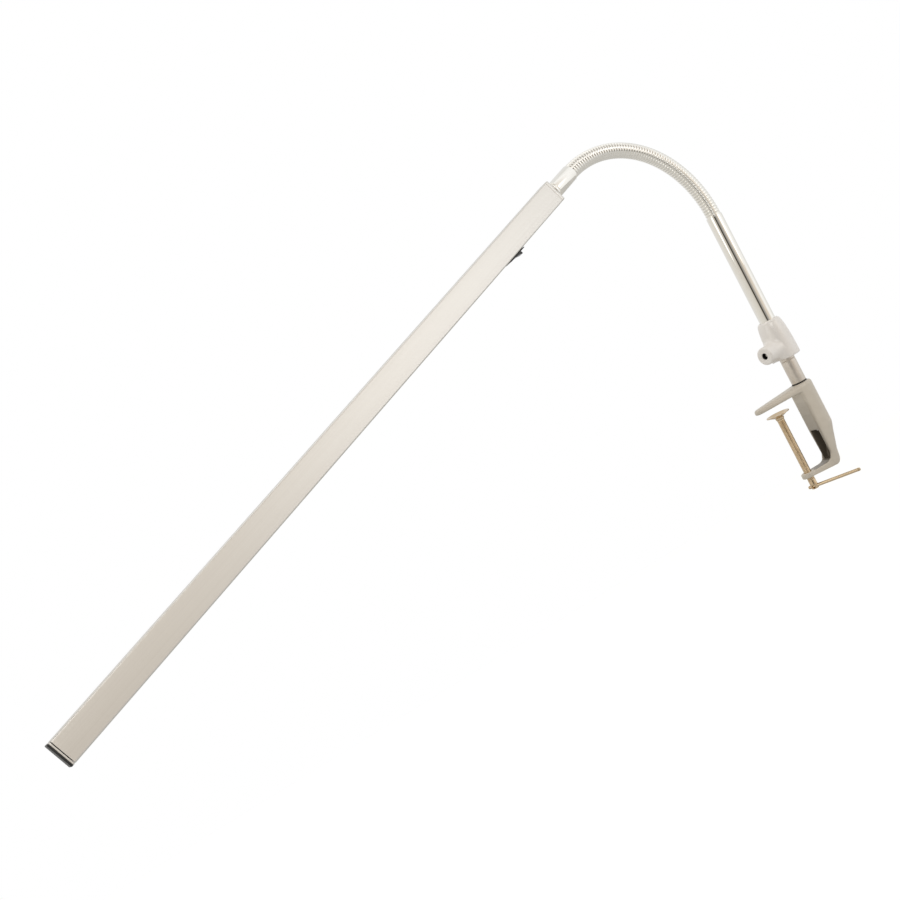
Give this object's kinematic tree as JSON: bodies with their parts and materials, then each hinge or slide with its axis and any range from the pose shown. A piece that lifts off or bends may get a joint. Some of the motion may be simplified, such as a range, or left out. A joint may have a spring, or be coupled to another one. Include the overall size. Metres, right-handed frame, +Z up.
{
  "type": "clamp-on reading lamp",
  "caption": "Slim LED bar lamp on a bendable gooseneck, with a straight tube and a bell-shaped knuckle that swivels on a small screw clamp for a table edge.",
  "frame": {"origin": "where the clamp screw's axis meets the flat underside of the upper jaw, which rests on the table top", "axes": "+Z up along the clamp screw; the jaws point to -X and the post stands at +X; the light bar reaches out towards -X, drawn with the arm turned 13 degrees"},
  "size_m": [0.6572, 0.1669, 0.3349],
  "materials": {
    "cast_grey": "satin warm grey coat on a die casting",
    "nylon": "matt",
    "brass_plate": "satin yellow plating",
    "chrome": "polished",
    "zinc_satin": "satin silver coat on a die casting",
    "steel": "plain",
    "black_plastic": "fine grain",
    "black_gloss": "gloss",
    "anodised": "satin champagne anodised",
    "opal": "satin opal",
    "board_white": "matt white mask",
    "led_yellow": "phosphor",
    "board_green": "satin mask",
    "lead_sheath": "matt"
  },
  "bodies": {
    "clamp": {"clamp_frame": "cast_grey", "swivel_washer": "nylon"},
    "pad": {"clamp_pad": "brass_plate"},
    "screw": {"clamp_screw": "brass_plate"},
    "tommy": {"tommy_bar": "brass_plate"},
    "arm": {"post": "chrome", "retaining_washer": "steel", "retaining_screw": "steel", "knuckle_housing": "zinc_satin", "knuckle_base": "zinc_satin", "dc_jack": "black_plastic", "dc_jack_pin": "steel", "supply_lead": "lead_sheath", "support_tube": "chrome", "neck_lower_end": "chrome"},
    "link_01": {"neck_link_01": "chrome"},
    "link_02": {"neck_link_02": "chrome"},
    "link_03": {"neck_link_03": "chrome"},
    "link_04": {"neck_link_04": "chrome"},
    "link_05": {"neck_link_05": "chrome"},
    "link_06": {"neck_link_06": "chrome"},
    "link_07": {"neck_link_07": "chrome"},
    "link_08": {"neck_link_08": "chrome"},
    "link_09": {"neck_link_09": "chrome"},
    "link_10": {"neck_link_10": "chrome"},
    "link_11": {"neck_link_11": "chrome"},
    "link_12": {"neck_link_12": "chrome"},
    "link_13": {"neck_link_13": "chrome"},
    "link_14": {"neck_link_14": "chrome"},
    "head": {"neck_upper_end": "chrome", "upper_ferrule": "chrome", "ferrule_nut": "steel", "inner_end_cap": "anodised", "end_cap_screws": "steel", "head_profile": "anodised", "slot_blank": "anodised", "diffuser": "opal", "led_board": "board_white", "leds": "led_yellow", "driver_board": "board_green", "driver_parts": "black_plastic", "head_lead": "lead_sheath", "switch_body": "black_plastic", "end_trim": "anodised", "outer_end_cap": "black_plastic"},
    "rocker": {"switch_rocker": "black_gloss"}
  },
  "joints": [
    {"name": "arm_swivel", "type": "hinge", "parent": "clamp", "child": "arm", "pos_m": [0.032, 0, 0.0064], "axis": [0, 0, 1], "continuous": true},
    {"name": "neck_bend", "type": "hinge", "parent": "arm", "child": "link_01", "pos_m": [0.0314, -0.00014, 0.17432], "axis": [0.225, -0.9744, 0], "range_deg": [-13.6, 5.5]},
    {"name": "neck_side", "type": "hinge", "parent": "link_01", "child": "link_02", "pos_m": [0.02961, -0.00055, 0.18449], "axis": [0.9469, 0.2186, 0.2356], "range_deg": [-6, 6]},
    {"name": "neck_bend_03", "type": "hinge", "parent": "link_02", "child": "link_03", "pos_m": [0.02666, -0.00123, 0.19438], "axis": [0.225, -0.9744, 0], "range_deg": [-13.6, 5.5]},
    {"name": "neck_side_04", "type": "hinge", "parent": "link_03", "child": "link_04", "pos_m": [0.02259, -0.00217, 0.20383], "axis": [0.8662, 0.2, 0.4579], "range_deg": [-6, 6]},
    {"name": "neck_bend_05", "type": "hinge", "parent": "link_04", "child": "link_05", "pos_m": [0.01746, -0.00336, 0.21273], "axis": [0.225, -0.9744, 0], "range_deg": [-13.6, 5.5]},
    {"name": "neck_side_06", "type": "hinge", "parent": "link_05", "child": "link_06", "pos_m": [0.01133, -0.00477, 0.22093], "axis": [0.7368, 0.1701, 0.6544], "range_deg": [-6, 6]},
    {"name": "neck_bend_07", "type": "hinge", "parent": "link_06", "child": "link_07", "pos_m": [0.0043, -0.0064, 0.22834], "axis": [0.225, -0.9744, 0], "range_deg": [-13.6, 5.5]},
    {"name": "neck_side_08", "type": "hinge", "parent": "link_07", "child": "link_08", "pos_m": [-0.00354, -0.00821, 0.23483], "axis": [0.5658, 0.1306, 0.8141], "range_deg": [-6, 6]},
    {"name": "neck_bend_09", "type": "hinge", "parent": "link_08", "child": "link_09", "pos_m": [-0.01208, -0.01018, 0.24032], "axis": [0.225, -0.9744, 0], "range_deg": [-13.6, 5.5]},
    {"name": "neck_side_10", "type": "hinge", "parent": "link_09", "child": "link_10", "pos_m": [-0.02119, -0.01228, 0.24474], "axis": [0.363, 0.0838, 0.928], "range_deg": [-6, 6]},
    {"name": "neck_bend_11", "type": "hinge", "parent": "link_10", "child": "link_11", "pos_m": [-0.03074, -0.01448, 0.24801], "axis": [0.225, -0.9744, 0], "range_deg": [-13.6, 5.5]},
    {"name": "neck_side_12", "type": "hinge", "parent": "link_11", "child": "link_12", "pos_m": [-0.04061, -0.01676, 0.2501], "axis": [0.1398, 0.0323, 0.9897], "range_deg": [-6, 6]},
    {"name": "neck_bend_13", "type": "hinge", "parent": "link_12", "child": "link_13", "pos_m": [-0.05064, -0.01908, 0.25097], "axis": [0.225, -0.9744, 0], "range_deg": [-13.6, 5.5]},
    {"name": "neck_side_14", "type": "hinge", "parent": "link_13", "child": "link_14", "pos_m": [-0.06071, -0.0214, 0.25062], "axis": [-0.0913, -0.0211, 0.9956], "range_deg": [-6, 6]},
    {"name": "neck_bend_15", "type": "hinge", "parent": "link_14", "child": "head", "pos_m": [-0.07067, -0.0237, 0.24904], "axis": [0.225, -0.9744, 0], "range_deg": [-13.6, 5.5]},
    {"name": "pad_travel", "type": "slide", "parent": "clamp", "child": "pad", "axis": [0, 0, 1], "range_m": [-0.04826, 0.00381]},
    {"name": "screw_turn", "type": "hinge", "parent": "pad", "child": "screw", "pos_m": [0, 0, -0.012], "axis": [0, 0, 1], "range_deg": [-13680, 1080]},
    {"name": "tommy_slide", "type": "slide", "parent": "screw", "child": "tommy", "axis": [0.6157, -0.788, 0], "range_m": [-0.036, 0]},
    {"name": "switch_press", "type": "hinge", "parent": "head", "child": "rocker", "pos_m": [-0.16391, -0.04592, 0.20852], "axis": [0.1964, -0.977, 0.0824], "range_deg": [0, 24]}
  ],
  "couplings": [
    {"joint": "neck_bend_03", "follows": "neck_bend", "ratio": 1},
    {"joint": "neck_side_04", "follows": "neck_side", "ratio": 1},
    {"joint": "neck_bend_05", "follows": "neck_bend", "ratio": 1},
    {"joint": "neck_side_06", "follows": "neck_side", "ratio": 1},
    {"joint": "neck_bend_07", "follows": "neck_bend", "ratio": 1},
    {"joint": "neck_side_08", "follows": "neck_side", "ratio": 1},
    {"joint": "neck_bend_09", "follows": "neck_bend", "ratio": 1},
    {"joint": "neck_side_10", "follows": "neck_side", "ratio": 1},
    {"joint": "neck_bend_11", "follows": "neck_bend", "ratio": 1},
    {"joint": "neck_side_12", "follows": "neck_side", "ratio": 1},
    {"joint": "neck_bend_13", "follows": "neck_bend", "ratio": 1},
    {"joint": "neck_side_14", "follows": "neck_side", "ratio": 1},
    {"joint": "neck_bend_15", "follows": "neck_bend", "ratio": 1},
    {"joint": "screw_turn", "follows": "pad_travel", "rad_per_m": 4947.4}
  ]
}
